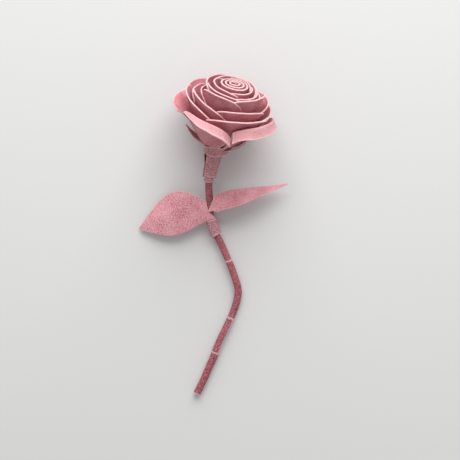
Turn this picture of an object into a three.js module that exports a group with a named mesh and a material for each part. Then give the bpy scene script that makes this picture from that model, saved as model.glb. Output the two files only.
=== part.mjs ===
// A crepe paper rose: petals cut from a thick grainy sheet and glued round a rolled bud, on a bent wire stem
// that is sleeved in rolled strips of the same sheet, with two leaves bound to it.
//
// Millimetres. The rose is drawn face up: +X to its right, +Y along the stem towards the bloom, +Z out of its
// face. It can't stand by itself, so it is then turned, by a few degrees, onto the three points it rests on.
import * as THREE from 'three';
import { ConvexHull } from 'three/addons/math/ConvexHull.js';

// The sheet that everything but the wire is cut from.
const SHEET = 0.7; // thickness
const GAP = 0.3; // air between neighbouring sheets
const PITCH = SHEET + GAP;

// The stem wire, bent by hand. The bloom sits on its straight top end.
const WIRE_RADIUS = 0.75;
const WIRE_IN_BUD = 36; // length of straight wire inside the bud
const WIRE_RECESS = 0.6; // how far the wire's lower end lies inside the last sleeve
const STRAIGHT_NECK = 16; // straight length below the bloom
const STEM_BENDS = [
  [-14.2, 46, -9],
  [-14, 32, -12],
  [-12.6, 18, -14],
  [-9, 3.5, -15.5],
  [-2.6, -10.5, -17],
  [3.8, -24.5, -18.2],
  [8.6, -37, -19.2],
  [11.1, -48, -20],
  [9.6, -59.5, -20.6],
  [5, -72, -21],
];
const STEM_TAIL = { length: 72.9, towards: [-0.409, -0.912, -0.02] }; // straight end below the last bend

// Strips rolled round the wire, from the bloom down. The last one reaches the cut end.
const SLEEVE_TOP = 3; // first sleeve's distance below the bloom's foot
const SLEEVE_BORE = 1.15; // radius of the hole left for the bent wire
const SLEEVES = [
  { name: 'stem_sleeve_neck', length: 106, turns: 1.7, seam: 318 },
  { name: 'stem_sleeve_upper', length: 52, turns: 1.95, seam: 235 },
  { name: 'stem_sleeve_middle', length: 33, turns: 1.75, seam: 150 },
  { name: 'stem_sleeve_foot', length: Infinity, turns: 1.9, seam: 215 },
];

// The bloom: its foot, and how far its axis leans to the right and nods towards the face side.
const BLOOM_FOOT = [-6.6, 79, 4.3];
const BLOOM_LEAN = 16;
const BLOOM_NOD = 29;

// The bud in the middle is one strip, rolled tight at the foot and loose at the lip.
const BUD = { turns: 3.3, foot: 1, lip: 57.5, heartRise: 1.5, lipPitch: 3.5, loosening: 1.6 };

// Rings of petals, from the bud outwards. Radii and heights are measured from the bloom's foot and axis. The
// petals of a ring follow the same curve, cut off at different lengths, except that two of the outermost have
// sizes of their own, with a flap that is folded out.
//   grid       columns and rows that a petal is divided into
//   start      angle between a petal's glued foot and the bloom's axis
//   rim        radius and height that the longest petal of the ring would reach
//   lip        how far below the rim the petal starts to roll out, and the angle of the rim to the axis
//   footHalf   half the angle that a petal's foot takes up round the bud, and half that of its widest part
//   drop       share of the curve by which its upper corners are rounded off
//   petals     where each one stands round the axis (0 is to the right, 90 at the back), the share of the
//              curve that it reaches, if not all, and how much further its side at larger angles reaches;
//              over says which of its sides lie over a neighbour, where that isn't the larger angle's side
//   flap       length from the fold, angle to the axis, and share by which it is shorter at smaller angles
const RINGS = [
  {
    name: 'petal_heart', grid: [7, 5], start: 10, rise: 14, rim: [16.5, 57], lip: [12, 8],
    footHalf: 50, half: 84, drop: 0.08,
    petals: [{ at: -150 }, { at: -30, reach: 0.98 }, { at: 90 }],
  },
  {
    name: 'petal_inner', grid: [8, 5], start: 20, rise: 14, rim: [22, 55.5], lip: [12, 12],
    footHalf: 40, half: 66, drop: 0.1,
    petals: [
      { at: -120, reach: 0.99 }, { at: -30, reach: 0.97 },
      { at: 60, reach: 0.98 }, { at: 150 },
    ],
  },
  {
    name: 'petal_front', grid: [8, 6], start: 30, rise: 14, rim: [28.5, 57.5], lip: [12, 16],
    footHalf: 33, half: 52, drop: 0.13,
    petals: [
      { at: -110, reach: 0.94, tilt: 0.01, drop: 0.2 }, { at: -38, reach: 0.98, tilt: 0.04 },
      { at: 34, reach: 0.82 },
      { at: 106, reach: 0.8 }, { at: 178, reach: 0.76 },
    ],
  },
  {
    name: 'petal_middle', grid: [8, 6], start: 40, rise: 14, rim: [33.5, 48], lip: [12, 20],
    footHalf: 33, half: 45, drop: 0.13,
    petals: [
      { at: -126, reach: 0.94, tilt: -0.1 }, { at: -57, reach: 0.98 }, { at: 18, reach: 0.98 },
      { at: 90, reach: 0.92 }, { at: 162, reach: 0.87, tilt: 0.03 },
    ],
  },
  {
    name: 'petal_outer', grid: [8, 7], start: 50, rise: 14, rim: [39.5, 44.5], lip: [12, 34],
    footHalf: 31, half: 46, drop: 0.12,
    petals: [
      { at: -150, reach: 0.92, tilt: -0.1, over: [-1, -1] },
      { at: -66, reach: 0.92, tilt: 0.06, over: [1, 1] },
      { at: 10, reach: 0.88 }, { at: 77, reach: 0.97 }, { at: 143, reach: 0.95 },
    ],
  },
  {
    name: 'petal_spread', grid: [8, 7], start: 60, rise: 14, rim: [46, 29], lip: [15, 88],
    footHalf: 26, half: 40, drop: 0.1,
    petals: [
      {
        at: -118, tilt: 0.09, rim: [40.5, 34.5], lip: [12, 25], drop: 0.34, footHalf: 38, half: 44,
        flap: { length: 9.5, angle: 120, taper: 0.8 },
      },
      {
        at: -29, tilt: 0.05, rim: [39.5, 37], lip: [12, 26], drop: 0.2, footHalf: 36, half: 42,
        flap: { length: 9, angle: 135, taper: 0 },
      },
      { at: 57, reach: 0.86 }, { at: 110, reach: 0.97 }, { at: 163 },
    ],
  },
];
const TUCK_SPARE = 1.25; // room between overlapping petals of one ring, in sheet pitches
const FOLD = 3; // how softly a flap is folded out
const FLAP_BEGINS = 5 / 7; // share of the petal's rows that lie below the fold

// The calyx, of the same pink sheet: sepals under the petals and the bands that hide the glue.
const SEPALS = [
  { at: 178, tip: [30, 8], tipAngle: 47 },
  { at: -34, tip: [31.5, 21], tipAngle: 28 },
  { at: 40, tip: [31, 12], tipAngle: 45 },
  { at: 110, tip: [31, 12], tipAngle: 45 },
];
const SEPAL = { start: 78, rise: 9, tipLength: 11, halfWidth: 5.6 };
const SEPAL_TIP_HALF = 0.5; // half the width of the blunt cut tip
const BASE_BAND = { foot: [9.6, -9.4], lip: [10, -2.9], turns: 1.15, seam: 100 };
const COLLAR = { top: 5, length: 26, topRadius: 7, turns: 1.22, seam: 206, gape: 1.1 };

// Leaves: their feet start on the stem, lie across its front and widen into a blade. The right leaf's foot
// lies over the left one's.
//   down       distance of the leaf's middle line below the bloom's foot
//   layer      how many sheets lie between its foot and the stem
//   wrap       angle round the stem that the glued end takes up, and how much of it a slanting cut takes off
//   neck       length from the middle of the stem at which the foot starts to widen, and half its width there
//   half       half the width of the blade; belly is 1 if it is widest halfway, less if nearer the stem
//   lift       how far the blade bows up the stem, how far its tip rises and how far the tip droops
//   twist      how far the blade is turned on edge near the stem and at the tip
const LEAF_TIP_HALF = 0.6; // half the width of the blunt cut tip
const LEAF_RIGHT = {
  name: 'leaf_right', down: 56.3, side: 1, layer: 1, wrap: 20, slant: 6.5, length: 69.5, neck: 3,
  footHalf: 6.2, half: 11, belly: 0.75, lift: 0, rise: 12.5, droop: 2, twist: [25, 80], camber: 1.5,
};
const LEAF_STEP = 6.5; // distance down the stem from the right leaf to the left one
const LEAF_LEFT = {
  name: 'leaf_left', down: LEAF_RIGHT.down + LEAF_STEP, side: -1, layer: 0, wrap: 90, slant: 11, length: 63.5,
  neck: 0, footHalf: 7, half: 17.7, belly: 1, lift: 6, rise: -7, droop: 9, twist: [4, 14], camber: 2.5,
};
const LEAF_BINDING = { below: 2, length: 13, flare: 0.4, turns: 0.96, seam: 187 }; // below the left leaf

// How finely each surface is divided.
const COLUMNS_PER_TURN = 10;
const SLEEVE_STEP = 11;
const LEAF_GRID = [7, 15];

const DENSITY = { sheet: 0.6e-3, wire: 7.85e-3 }; // grams per cubic millimetre, to find the point of balance

// Finishes, from the photograph.
const pink = (hex) => new THREE.MeshStandardMaterial({ color: hex, roughness: 0.95, metalness: 0 });
const FINISH = {
  petal: pink(0xc98088),
  bud: pink(0xd08a90),
  stem: pink(0x8c4a52),
  calyx: pink(0x9c6068),
  leaf: pink(0xcc8890),
  wire: new THREE.MeshStandardMaterial({ color: 0x8f9296, roughness: 0.45, metalness: 1 }),
};

const rad = THREE.MathUtils.degToRad;
const { lerp, smoothstep } = THREE.MathUtils;
const TURN = 2 * Math.PI;

// A closed solid of one sheet thickness, laid half on each side of surface(u, v), with u and v from 0 to 1.
function sheetGeometry(surface, columns, rows) {
  const positions = [];
  for (const offset of [SHEET / 2, -SHEET / 2]) {
    for (let j = 0; j <= rows; j++) {
      for (let i = 0; i <= columns; i++) {
        const u = i / columns;
        const v = j / rows;
        const point = surface(u, v).addScaledVector(surfaceNormal(surface, u, v), offset);
        positions.push(point.x, point.y, point.z);
      }
    }
  }
  const indices = [];
  const quad = (a, b, c, d) => indices.push(a, b, c, a, c, d);
  const back = (columns + 1) * (rows + 1);
  const at = (i, j) => j * (columns + 1) + i;
  for (let j = 0; j < rows; j++) {
    for (let i = 0; i < columns; i++) {
      quad(at(i, j), at(i + 1, j), at(i + 1, j + 1), at(i, j + 1));
      quad(back + at(i, j), back + at(i, j + 1), back + at(i + 1, j + 1), back + at(i + 1, j));
    }
  }
  for (let i = 0; i < columns; i++) {
    quad(back + at(i, 0), back + at(i + 1, 0), at(i + 1, 0), at(i, 0));
    quad(at(i, rows), at(i + 1, rows), back + at(i + 1, rows), back + at(i, rows));
  }
  for (let j = 0; j < rows; j++) {
    quad(at(0, j), at(0, j + 1), back + at(0, j + 1), back + at(0, j));
    quad(back + at(columns, j), back + at(columns, j + 1), at(columns, j + 1), at(columns, j));
  }
  const geometry = new THREE.BufferGeometry();
  geometry.setAttribute('position', new THREE.Float32BufferAttribute(positions, 3));
  geometry.setIndex(indices);
  geometry.computeVertexNormals();
  return geometry;
}

function surfaceNormal(surface, u, v) {
  const step = 1e-3;
  const across = surface(Math.min(u + step, 1), v).sub(surface(Math.max(u - step, 0), v));
  const along = surface(u, Math.min(v + step, 1)).sub(surface(u, Math.max(v - step, 0)));
  return across.cross(along).normalize();
}

function piece(name, geometry, finish) {
  const mesh = new THREE.Mesh(geometry, finish);
  mesh.name = name;
  return mesh;
}

// The bloom's own frame: z up its axis, x to the rose's right, y to its back.
function bloomGroup() {
  const lean = rad(BLOOM_LEAN);
  const nod = rad(BLOOM_NOD);
  const right = new THREE.Vector3(Math.cos(lean), -Math.sin(lean), 0);
  const axis = new THREE.Vector3(Math.sin(lean), Math.cos(lean), Math.tan(nod)).normalize();
  const rear = new THREE.Vector3().crossVectors(axis, right);
  const group = new THREE.Group();
  group.quaternion.setFromRotationMatrix(new THREE.Matrix4().makeBasis(right, rear, axis));
  group.position.set(...BLOOM_FOOT);
  group.updateMatrix();
  return group;
}

// A point of the bloom at a radius and height from its axis and foot, at an angle round it in radians.
function bloomPoint(radius, height, angle) {
  return new THREE.Vector3(radius * Math.cos(angle), radius * Math.sin(angle), height);
}

const budFootRadius = WIRE_RADIUS + GAP + SHEET / 2;

function budRoll() {
  const surface = (u, v) => {
    const pitch = lerp(PITCH, BUD.lipPitch, v ** BUD.loosening);
    const lip = BUD.lip + BUD.heartRise * (1 - u);
    return bloomPoint(budFootRadius + pitch * BUD.turns * u, lerp(BUD.foot, lip, v), TURN * BUD.turns * u);
  };
  const geometry = sheetGeometry(surface, Math.round(BUD.turns * COLUMNS_PER_TURN), 4);
  return piece('bud_roll', geometry, FINISH.bud);
}

// Where each ring of petals is glued: one sheet pitch outside the ring before, square to the petals there.
function ringFeet() {
  const starts = [...RINGS.map((ring) => ring.start), SEPAL.start];
  const first = budFootRadius + BUD.turns * PITCH + PITCH;
  const feet = [new THREE.Vector2(first, BUD.foot + SHEET)];
  for (let i = 1; i < starts.length; i++) {
    const square = rad((starts[i - 1] + starts[i]) / 2);
    const foot = new THREE.Vector2(Math.cos(square), -Math.sin(square)).multiplyScalar(PITCH);
    feet.push(foot.add(feet[i - 1]));
  }
  return feet;
}

// A point at a length and an angle from the bloom's axis, in the plane of radius and height.
const reach = (length, degrees) =>
  new THREE.Vector2(Math.sin(rad(degrees)), Math.cos(rad(degrees))).multiplyScalar(length);

// The smallest angle between neighbouring petals of a ring.
function closest(petals) {
  const angles = petals.map((petal) => petal.at);
  const next = (i) => angles[(i + 1) % angles.length];
  return Math.min(...angles.map((angle, i) => THREE.MathUtils.euclideanModulo(next(i) - angle, 360)));
}

// The curve of a flap from its fold, where the petal comes up to it at an angle to the axis.
function flapCurve({ length, angle }, lipAngle) {
  const end = reach(length, angle);
  const middle = end.clone().sub(reach(length - FOLD, angle));
  return new THREE.CubicBezierCurve(new THREE.Vector2(), reach(FOLD, lipAngle), middle, end);
}

function petalSurface(ring, foot, own) {
  const petal = { reach: 1, tilt: 0, over: [-1, 1], ...ring, ...own };
  const rim = new THREE.Vector2(...petal.rim);
  const meridian = new THREE.CubicBezierCurve(
    foot,
    foot.clone().add(reach(petal.rise, petal.start)),
    rim.clone().sub(reach(...petal.lip)),
    rim,
  );
  const flap = petal.flap && flapCurve(petal.flap, petal.lip[1]);
  const tuck = (TUCK_SPARE * PITCH * petal.half) / closest(ring.petals);
  return (u, v) => {
    const side = 2 * u - 1;
    const edge = petal.reach - petal.drop * Math.abs(side) ** 3 + petal.tilt * side;
    const along = edge * (flap ? Math.min(v / FLAP_BEGINS, 1) : v);
    const point = meridian.getPoint(along);
    const tangent = meridian.getTangent(along);
    if (flap && v > FLAP_BEGINS) {
      const beyond = ((v - FLAP_BEGINS) / (1 - FLAP_BEGINS)) * (1 - petal.flap.taper * (1 - u) ** 2);
      point.add(flap.getPoint(beyond));
      tangent.copy(flap.getTangent(beyond));
    }
    const outward = tuck * lerp(...petal.over, u) * smoothstep(along, 0.08, 0.4);
    const half = lerp(petal.footHalf, petal.half, smoothstep(along, 0.25, 0.75));
    return bloomPoint(
      point.x + outward * tangent.y,
      point.y - outward * tangent.x,
      rad(petal.at + half * side),
    );
  };
}

function petals() {
  const feet = ringFeet();
  return RINGS.flatMap((ring, r) => ring.petals.map((petal, p) => piece(
    `${ring.name}_${p + 1}`,
    sheetGeometry(petalSurface(ring, feet[r], petal), ...ring.grid),
    FINISH.petal,
  )));
}

function sepal({ at, tip, tipAngle }, name) {
  const foot = ringFeet()[RINGS.length];
  const end = new THREE.Vector2(...tip);
  const meridian = new THREE.CubicBezierCurve(
    foot,
    foot.clone().add(reach(SEPAL.rise, SEPAL.start)),
    end.clone().sub(reach(SEPAL.tipLength, tipAngle)),
    end,
  );
  const surface = (u, v) => {
    const point = meridian.getPoint(v);
    const half = lerp(SEPAL.halfWidth, SEPAL_TIP_HALF, v ** 2);
    return bloomPoint(point.x, point.y, rad(at) + (half * (2 * u - 1)) / point.x);
  };
  return piece(name, sheetGeometry(surface, 3, 6), FINISH.calyx);
}

const sepals = () => SEPALS.map((shape, i) => sepal(shape, `sepal_${i + 1}`));

function baseBand() {
  const surface = (u, v) => bloomPoint(
    lerp(BASE_BAND.foot[0], BASE_BAND.lip[0], v) + PITCH * BASE_BAND.turns * u,
    lerp(BASE_BAND.foot[1], BASE_BAND.lip[1], v),
    rad(BASE_BAND.seam) + TURN * BASE_BAND.turns * u,
  );
  const columns = Math.round(BASE_BAND.turns * COLUMNS_PER_TURN * 1.5);
  return piece('base_band', sheetGeometry(surface, columns, 2), FINISH.calyx);
}

// The line of the wire, from its end inside the bud down to the cut end of the stem.
function stemRoute(bloom) {
  const onAxis = (height) => new THREE.Vector3(0, 0, height).applyMatrix4(bloom.matrix);
  const points = [WIRE_IN_BUD, WIRE_IN_BUD / 2, 0, -STRAIGHT_NECK].map(onAxis);
  points.push(...STEM_BENDS.map((bend) => new THREE.Vector3(...bend)));
  const tail = new THREE.Vector3(...STEM_TAIL.towards).setLength(STEM_TAIL.length);
  const lastBend = points.at(-1);
  points.push(...[1 / 3, 2 / 3, 1].map((share) => lastBend.clone().addScaledVector(tail, share)));
  const route = new THREE.CatmullRomCurve3(points);
  route.arcLengthDivisions = 1000;
  return route;
}

// The stem's frame at a distance below the bloom's foot: its axis, and the directions to its face and side.
function stemFrame(route, down) {
  const share = Math.min((WIRE_IN_BUD + down) / route.getLength(), 1);
  const point = route.getPointAt(share);
  const axis = route.getTangentAt(share);
  const face = new THREE.Vector3(0, 0, 1).addScaledVector(axis, -axis.z).normalize();
  const side = new THREE.Vector3().crossVectors(face, axis);
  return { point, axis, face, side };
}

function offStem(frame, radius, angle) {
  return frame.point.clone()
    .addScaledVector(frame.face, radius * Math.cos(angle))
    .addScaledVector(frame.side, radius * Math.sin(angle));
}

// A strip rolled round the stem between two distances below the bloom's foot. Its outer end may stand off, or
// gape, near the top.
function stemWrap(route, from, to, radiusAt, turns, seam, gape = 0) {
  const pitch = turns > 1 ? PITCH : 0;
  const surface = (u, v) => offStem(
    stemFrame(route, lerp(from, to, v)),
    radiusAt(v) + pitch * turns * u + gape * smoothstep(u, 0.8, 1) * Math.sin(Math.PI * Math.sqrt(v)),
    rad(seam) + TURN * turns * u,
  );
  const columns = Math.round(turns * COLUMNS_PER_TURN);
  const rows = Math.max(2, Math.round((to - from) / SLEEVE_STEP));
  return sheetGeometry(surface, columns, rows);
}

const stemLength = (route) => route.getLength() - WIRE_IN_BUD;
const sleeveFootRadius = SLEEVE_BORE + SHEET / 2;
const stemRadius = sleeveFootRadius + PITCH * SLEEVES[0].turns + SHEET / 2;
const wrapRadius = stemRadius + 1.5 * GAP + SHEET / 2; // of the first sheet laid round the sleeves

function stemWire(route) {
  const section = new THREE.Shape().absarc(0, 0, WIRE_RADIUS, 0, TURN);
  const share = 1 - WIRE_RECESS / route.getLength();
  const points = route.getSpacedPoints(48).slice(0, -1);
  points.push(route.getPointAt(share));
  const path = new THREE.CatmullRomCurve3(points);
  const geometry = new THREE.ExtrudeGeometry(section, {
    steps: 48, curveSegments: 3, bevelEnabled: false, extrudePath: path,
  });
  return piece('stem_wire', geometry, FINISH.wire);
}

function stemSleeves(route) {
  let top = SLEEVE_TOP;
  return SLEEVES.map(({ name, length, turns, seam }) => {
    const end = Math.min(top + length, stemLength(route));
    const geometry = stemWrap(route, top, end, () => sleeveFootRadius, turns, seam);
    top = end + GAP;
    return piece(name, geometry, FINISH.stem);
  });
}

function collar(route) {
  const { top, length, topRadius, turns, seam, gape } = COLLAR;
  const radiusAt = (v) => lerp(topRadius, wrapRadius, v ** 0.8);
  const geometry = stemWrap(route, top, top + length, radiusAt, turns, seam, gape);
  return piece('collar_wrap', geometry, FINISH.calyx);
}

function leafBinding(route) {
  const { below, length, flare, turns, seam } = LEAF_BINDING;
  const down = LEAF_LEFT.down + LEAF_LEFT.footHalf + below;
  const radiusAt = (v) => wrapRadius + flare * (1 - v);
  return piece('leaf_binding', stemWrap(route, down, down + length, radiusAt, turns, seam), FINISH.calyx);
}

// A leaf starts as a strip lying round the stem, crosses its face and leaves it straight, to one side.
function leafSurface(route, leaf) {
  const frame = stemFrame(route, leaf.down);
  const radius = wrapRadius + leaf.layer * (PITCH + GAP);
  const upStem = frame.axis.clone().negate();
  return (u, v) => {
    const start = leaf.slant * u - rad(leaf.wrap) * radius;
    const distance = lerp(start, leaf.length, v ** 1.6);
    const blade = Math.max(0, distance);
    const share = blade / leaf.length;
    const middle = offStem(frame, radius, (leaf.side * Math.min(0, distance)) / radius)
      .addScaledVector(frame.side, leaf.side * blade)
      .addScaledVector(upStem, leaf.lift * Math.sin(Math.PI * share ** 0.8) + leaf.rise * share)
      .addScaledVector(frame.face, -leaf.droop * share ** 2);
    const twist = rad(lerp(...leaf.twist, Math.sqrt(share)) * Math.min(1, 6 * share));
    const spread = Math.max(0, blade - leaf.neck) / (leaf.length - leaf.neck);
    const belly = (leaf.half - leaf.footHalf / 2) * Math.sin(Math.PI * spread ** leaf.belly);
    const half = leaf.footHalf * (1 - share) + belly + LEAF_TIP_HALF * share;
    const across = (2 * u - 1) * half;
    const cup = leaf.camber * Math.sin(Math.PI * share) * (2 * u - 1) ** 2;
    return middle
      .addScaledVector(upStem, across * Math.cos(twist))
      .addScaledVector(frame.face, -across * Math.sin(twist) - cup * Math.cos(twist));
  };
}

function leaf(route, shape) {
  return piece(shape.name, sheetGeometry(leafSurface(route, shape), ...LEAF_GRID), FINISH.leaf);
}

// Volume and centre of a closed mesh, as sums over the tetrahedra between its faces and the origin.
function balanceOf(mesh) {
  const geometry = mesh.geometry.index ? mesh.geometry.toNonIndexed() : mesh.geometry;
  const position = geometry.getAttribute('position');
  const corner = (i) => new THREE.Vector3().fromBufferAttribute(position, i).applyMatrix4(mesh.matrixWorld);
  const centre = new THREE.Vector3();
  let volume = 0;
  for (let i = 0; i < position.count; i += 3) {
    const [a, b, c] = [corner(i), corner(i + 1), corner(i + 2)];
    const part = a.dot(b.clone().cross(c)) / 6;
    volume += part;
    centre.addScaledVector(a.add(b).add(c), part / 4);
  }
  return { volume, centre: centre.divideScalar(volume) };
}

// Lays the rose on the face of its convex hull that it would come to rest on, and centres it over the origin.
function layDown(rose) {
  rose.updateMatrixWorld(true);
  const meshes = [];
  rose.traverse((object) => object.isMesh && meshes.push(object));
  const balance = new THREE.Vector3();
  let weight = 0;
  for (const mesh of meshes) {
    const { volume, centre } = balanceOf(mesh);
    const grams = volume * (mesh.material === FINISH.wire ? DENSITY.wire : DENSITY.sheet);
    balance.addScaledVector(centre, grams);
    weight += grams;
  }
  balance.divideScalar(weight);

  const down = new THREE.Vector3(0, 0, -1);
  const steady = new ConvexHull().setFromObject(rose).faces
    .filter((face) => restsOn(face, balance))
    .sort((a, b) => b.normal.dot(down) - a.normal.dot(down))[0];
  const bed = new THREE.Group();
  bed.add(rose);
  rose.quaternion.setFromUnitVectors(steady.normal, down);
  bed.updateMatrixWorld(true);
  const box = new THREE.Box3().setFromObject(bed, true);
  const middle = box.getCenter(new THREE.Vector3());
  rose.position.set(-middle.x, -middle.y, -box.min.z);
  bed.updateMatrixWorld(true);
  return bed;
}

// Whether a point of balance stands over a face of the hull.
function restsOn(face, balance) {
  const corners = [face.getEdge(0), face.getEdge(1), face.getEdge(2)].map((edge) => edge.head().point);
  const foot = new THREE.Plane().setFromNormalAndCoplanarPoint(face.normal, corners[0])
    .projectPoint(balance, new THREE.Vector3());
  return new THREE.Triangle(...corners).containsPoint(foot);
}

function buildRose() {
  const bloom = bloomGroup();
  bloom.add(budRoll(), ...petals(), ...sepals(), baseBand());
  const route = stemRoute(bloom);
  const rose = new THREE.Group();
  rose.add(bloom, stemWire(route), ...stemSleeves(route), collar(route));
  rose.add(leaf(route, LEAF_LEFT), leaf(route, LEAF_RIGHT), leafBinding(route));
  return layDown(rose);
}

export default buildRose();
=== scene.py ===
"""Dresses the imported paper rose: every sheet is cut, shaped and given its grainy pink finish.

Lengths are in millimetres and angles in degrees, unless a description says otherwise.
"""

import logging
import math
from dataclasses import dataclass, field, replace
from enum import Enum
from typing import Any, Callable, Dict, List, Optional, Sequence, Tuple, Union

import bpy
import numpy as np
from mathutils import Matrix, Vector, noise


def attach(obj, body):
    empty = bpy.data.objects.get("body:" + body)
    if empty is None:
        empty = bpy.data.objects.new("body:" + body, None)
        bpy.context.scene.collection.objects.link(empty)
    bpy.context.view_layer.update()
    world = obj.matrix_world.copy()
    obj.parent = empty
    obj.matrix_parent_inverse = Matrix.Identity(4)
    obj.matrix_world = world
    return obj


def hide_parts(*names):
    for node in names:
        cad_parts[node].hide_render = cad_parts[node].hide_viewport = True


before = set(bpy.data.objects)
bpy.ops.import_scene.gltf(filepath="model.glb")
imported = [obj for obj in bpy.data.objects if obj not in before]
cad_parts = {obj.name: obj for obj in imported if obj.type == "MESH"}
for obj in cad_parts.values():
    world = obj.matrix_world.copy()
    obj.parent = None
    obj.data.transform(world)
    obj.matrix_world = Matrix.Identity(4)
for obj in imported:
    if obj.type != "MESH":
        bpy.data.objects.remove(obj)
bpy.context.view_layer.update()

LOG = logging.getLogger("rose")
MM = 0.001
TURN = 2.0 * math.pi
ROOT = "root"

Array = np.ndarray
Surface = Callable[[Array, Array], Array]
Number = Union[float, Array]
Pair = Tuple[float, float]
Triple = Tuple[float, float, float]
Grid = Tuple[int, int]


def mix(low: Number, high: Number, share: Number) -> Number:
    """Goes from low to high as share goes from 0 to 1."""
    return low + (high - low) * share


def ease(share: Number, low: float, high: float) -> Number:
    """Smooth step from 0 at low to 1 at high."""
    t = np.clip((share - low) / (high - low), 0.0, 1.0)
    return t * t * (3.0 - 2.0 * t)


def unit(rows: Array) -> Array:
    """Gives each row the length 1."""
    return rows / np.linalg.norm(rows, axis=1, keepdims=True)


def travel(points: Array) -> Array:
    """Adds up the length of a line of points, from its start to each of them."""
    return np.concatenate([[0.0], np.cumsum(np.linalg.norm(np.diff(points, axis=0), axis=1))])


def colour(hex_code: str) -> Tuple[float, ...]:
    """Turns a six-digit colour as seen on a screen, such as "c98088", into linear light, fully opaque."""
    parts = [int(hex_code[i : i + 2], 16) / 255.0 for i in (0, 2, 4)]
    return (*(c / 12.92 if c <= 0.04045 else ((c + 0.055) / 1.055) ** 2.4 for c in parts), 1.0)


@dataclass(frozen=True)
class LyingPose:
    """How the rose, drawn face up, lies on the floor.

    Drawn, its right is +X, the bloom's end of the stem +Y and its face +Z, in millimetres.
    """

    floor_direction: Triple = (-0.002579, 0.023032, -0.999731)
    shift: Triple = (10.1416, 1.3802, 23.0737)

    def matrix(self) -> Matrix:
        """Gives the matrix from drawn millimetres to metres in the frame."""
        turn = Vector(self.floor_direction).rotation_difference(Vector((0.0, 0.0, -1.0)))
        return Matrix.Scale(MM, 4) @ Matrix.Translation(self.shift) @ turn.to_matrix().to_4x4()

    def place(self, points: Array, clear: float) -> Array:
        """Carries drawn points into the frame.

        Args:
            points: Rows of drawn coordinates.
            clear: Least height above the floor.

        Returns:
            Rows of coordinates in metres.
        """
        matrix = np.array(self.matrix())
        placed = points @ matrix[:3, :3].T + matrix[:3, 3]
        placed[:, 2] = np.maximum(placed[:, 2], clear * MM)
        return placed


POSE = LyingPose()


class Shade:
    """A value in a material's nodes, with arithmetic."""

    def __init__(self, graph: "ShaderGraph", socket: bpy.types.NodeSocket) -> None:
        """Wraps one output socket."""
        self.graph = graph
        self.socket = socket

    def _math(self, operation: str, first: Any, second: Any) -> "Shade":
        """Adds a Math node on two values."""
        return self.graph.value("ShaderNodeMath", 0, {"operation": operation}, {0: first, 1: second})

    def __add__(self, other: Any) -> "Shade":
        """Adds."""
        return self._math("ADD", self, other)

    def __mul__(self, other: Any) -> "Shade":
        """Multiplies."""
        return self._math("MULTIPLY", self, other)

    def __sub__(self, other: Any) -> "Shade":
        """Subtracts."""
        return self._math("SUBTRACT", self, other)

    def __rsub__(self, other: Any) -> "Shade":
        """Subtracts this from a number."""
        return self._math("SUBTRACT", other, self)

    def sine(self) -> "Shade":
        """Takes the sine."""
        return self._math("SINE", self, 0.0)

    def between(self, low: float, high: float) -> "Shade":
        """Rises smoothly from 0 to 1 as the value goes from low to high."""
        inputs = {"Value": self, "From Min": low, "From Max": high}
        return self.graph.value("ShaderNodeMapRange", 0, {"interpolation_type": "SMOOTHSTEP"}, inputs)


class ShaderGraph:
    """A new material and its nodes."""

    def __init__(self, name: str) -> None:
        """Starts a material with a Principled shader.

        Args:
            name: The material's name.
        """
        self.material = bpy.data.materials.new(name)
        self.material.use_nodes = True
        self.tree = self.material.node_tree
        self.shader = self.tree.nodes["Principled BSDF"]

    def add(self, kind: str, settings: Dict[str, Any], inputs: Dict[Any, Any]) -> bpy.types.Node:
        """Adds one node.

        Args:
            kind: The node's type.
            settings: Attributes to set before the sockets.
            inputs: Values, hex colours or links, by socket name or number.

        Returns:
            The node.
        """
        node = self.tree.nodes.new(kind)
        for key, value in settings.items():
            setattr(node, key, value)
        self.feed(node, inputs)
        return node

    def feed(self, node: bpy.types.Node, inputs: Dict[Any, Any]) -> None:
        """Sets or links a node's sockets.

        Args:
            node: The node.
            inputs: Values, hex colours or links, by socket name or number.
        """
        for key, value in inputs.items():
            socket = node.inputs[key]
            if isinstance(value, Shade):
                self.tree.links.new(value.socket, socket)
            else:
                socket.default_value = colour(value) if isinstance(value, str) else value

    def value(self, kind: str, output: Any, settings: Dict[str, Any], inputs: Dict[Any, Any]) -> Shade:
        """Adds a node and wraps one of its outputs."""
        return Shade(self, self.add(kind, settings, inputs).outputs[output])

    def place(self) -> Shade:
        """Gives the place in the piece, in metres."""
        return self.value("ShaderNodeTexCoord", "Object", {}, {})

    def stored(self, name: str) -> Shade:
        """Gives a value that is stored with the mesh."""
        return self.value("ShaderNodeAttribute", "Fac", {"attribute_name": name}, {})

    def blend(self, share: Any, first: Any, second: Any) -> Shade:
        """Mixes two colours, with a share of the second one."""
        return self.value("ShaderNodeMix", 2, {"data_type": "RGBA"}, {0: share, 6: first, 7: second})

    def grain(self, place: Shade, scale: float, detail: float, roughness: float = 0.55) -> Shade:
        """Adds noise about 0.5, with a scale in grains to a unit of the place and octaves of detail."""
        inputs = {"Vector": place, "Scale": scale, "Detail": detail, "Roughness": roughness}
        return self.value("ShaderNodeTexNoise", 0, {}, inputs)

    def bump(self, height: Shade, strength: float, depth: float) -> Shade:
        """Turns heights into a bumpy normal of some depth."""
        inputs = {"Strength": strength, "Distance": depth * MM, "Height": height}
        return self.value("ShaderNodeBump", 0, {}, inputs)


@dataclass(frozen=True)
class MaterialFinish:
    """A finish that a material is made from.

    Attributes:
        name: The material's name.
    """

    name: str

    def build(self) -> bpy.types.Material:
        """Makes the material."""
        graph = ShaderGraph(self.name)
        graph.feed(graph.shader, self.look(graph))
        return graph.material

    def look(self, graph: ShaderGraph) -> Dict[str, Any]:
        """Adds the finish's nodes and says what the shader is fed."""
        raise NotImplementedError


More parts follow.
